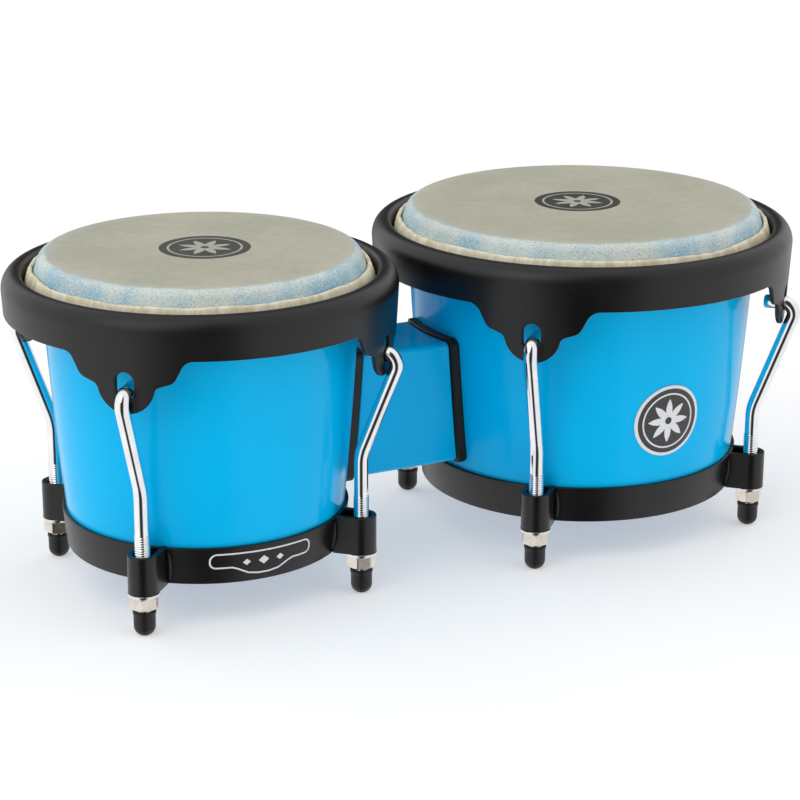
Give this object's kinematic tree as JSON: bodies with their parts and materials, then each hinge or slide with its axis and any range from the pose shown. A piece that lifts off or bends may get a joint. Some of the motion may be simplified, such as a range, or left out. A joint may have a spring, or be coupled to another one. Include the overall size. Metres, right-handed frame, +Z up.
{
  "type": "bongo drums",
  "caption": "Pair of joined bongo drums: tapered moulded shells, natural skin heads, black steel rims, hooked tension rods with capped feet and a centre block.",
  "frame": {"origin": "centre of the pair's bounding box in plan, at the lowest face of the rubber foot caps", "axes": "+X from the small drum (macho) to the large drum (hembra), +Y toward the rear, away from the badge, +Z up"},
  "size_m": [0.4384, 0.2282, 0.1759],
  "materials": {
    "shell_blue": "gloss",
    "skin": "matte natural skin",
    "black_steel": "satin powder coat",
    "rod_chrome": "polished chrome",
    "nickel_steel": "nickel plated",
    "zinc_steel": "zinc plated",
    "black_rubber": "matte",
    "badge_black": "satin print"
  },
  "bodies": {
    "root": {"macho_shell": "shell_blue", "macho_head": "skin", "macho_washers": "nickel_steel", "macho_bottom_ring": "black_steel", "hembra_shell": "shell_blue", "hembra_head": "skin", "hembra_washers": "nickel_steel", "hembra_bottom_ring": "black_steel", "hembra_badge": "badge_black", "centre_block": "shell_blue", "macho_gasket": "black_rubber", "hembra_gasket": "black_rubber", "block_bolts": "zinc_steel", "block_bolt_nuts": "zinc_steel", "block_bolt_washers": "zinc_steel", "macho_backing_plate": "zinc_steel", "hembra_backing_plate": "zinc_steel"},
    "macho_rim_set": {"macho_rim": "black_steel", "macho_flesh_hoop": "zinc_steel", "macho_skin_tuck": "skin", "macho_tension_rods": "rod_chrome", "macho_foot_caps": "black_rubber"},
    "macho_nut_rear_right": {"macho_nut_rear_right": "nickel_steel"},
    "macho_nut_rear_left": {"macho_nut_rear_left": "nickel_steel"},
    "macho_nut_front_left": {"macho_nut_front_left": "nickel_steel"},
    "macho_nut_front_right": {"macho_nut_front_right": "nickel_steel"},
    "hembra_rim_set": {"hembra_rim": "black_steel", "hembra_flesh_hoop": "zinc_steel", "hembra_skin_tuck": "skin", "hembra_tension_rods": "rod_chrome", "hembra_foot_caps": "black_rubber"},
    "hembra_nut_rear_right": {"hembra_nut_rear_right": "nickel_steel"},
    "hembra_nut_rear_left": {"hembra_nut_rear_left": "nickel_steel"},
    "hembra_nut_front_left": {"hembra_nut_front_left": "nickel_steel"},
    "hembra_nut_front_right": {"hembra_nut_front_right": "nickel_steel"}
  },
  "joints": [
    {"name": "macho_rim_slide", "type": "slide", "parent": "root", "child": "macho_rim_set", "axis": [0, 0, -1], "range_m": [-0.001, 0.005]},
    {"name": "macho_nut_rear_right_turn", "type": "hinge", "parent": "root", "child": "macho_nut_rear_right", "pos_m": [-0.05966, 0.06081, 0.01755], "axis": [0, 0, 1], "range_deg": [-290, 1442]},
    {"name": "macho_nut_rear_left_turn", "type": "hinge", "parent": "root", "child": "macho_nut_rear_left", "pos_m": [-0.17971, 0.05924, 0.01755], "axis": [0, 0, 1], "range_deg": [-290, 1442]},
    {"name": "macho_nut_front_left_turn", "type": "hinge", "parent": "root", "child": "macho_nut_front_left", "pos_m": [-0.17814, -0.06081, 0.01755], "axis": [0, 0, 1], "range_deg": [-290, 1442]},
    {"name": "macho_nut_front_right_turn", "type": "hinge", "parent": "root", "child": "macho_nut_front_right", "pos_m": [-0.05809, -0.05924, 0.01755], "axis": [0, 0, 1], "range_deg": [-290, 1442]},
    {"name": "hembra_rim_slide", "type": "slide", "parent": "root", "child": "hembra_rim_set", "axis": [0, 0, -1], "range_m": [-0.001, 0.005]},
    {"name": "hembra_nut_rear_right_turn", "type": "hinge", "parent": "root", "child": "hembra_nut_rear_right", "pos_m": [0.17211, 0.07123, 0.01755], "axis": [0, 0, 1], "range_deg": [-290, 1442]},
    {"name": "hembra_nut_rear_left_turn", "type": "hinge", "parent": "root", "child": "hembra_nut_rear_left", "pos_m": [0.03387, 0.06701, 0.01755], "axis": [0, 0, 1], "range_deg": [-290, 1442]},
    {"name": "hembra_nut_front_left_turn", "type": "hinge", "parent": "root", "child": "hembra_nut_front_left", "pos_m": [0.03809, -0.07123, 0.01755], "axis": [0, 0, 1], "range_deg": [-290, 1442]},
    {"name": "hembra_nut_front_right_turn", "type": "hinge", "parent": "root", "child": "hembra_nut_front_right", "pos_m": [0.17633, -0.06701, 0.01755], "axis": [0, 0, 1], "range_deg": [-290, 1442]}
  ],
  "couplings": [
    {"joint": "macho_nut_rear_right_turn", "follows": "macho_rim_slide", "rad_per_m": 5026.5},
    {"joint": "macho_nut_rear_left_turn", "follows": "macho_rim_slide", "rad_per_m": 5026.5},
    {"joint": "macho_nut_front_left_turn", "follows": "macho_rim_slide", "rad_per_m": 5026.5},
    {"joint": "macho_nut_front_right_turn", "follows": "macho_rim_slide", "rad_per_m": 5026.5},
    {"joint": "hembra_nut_rear_right_turn", "follows": "hembra_rim_slide", "rad_per_m": 5026.5},
    {"joint": "hembra_nut_rear_left_turn", "follows": "hembra_rim_slide", "rad_per_m": 5026.5},
    {"joint": "hembra_nut_front_left_turn", "follows": "hembra_rim_slide", "rad_per_m": 5026.5},
    {"joint": "hembra_nut_front_right_turn", "follows": "hembra_rim_slide", "rad_per_m": 5026.5}
  ]
}
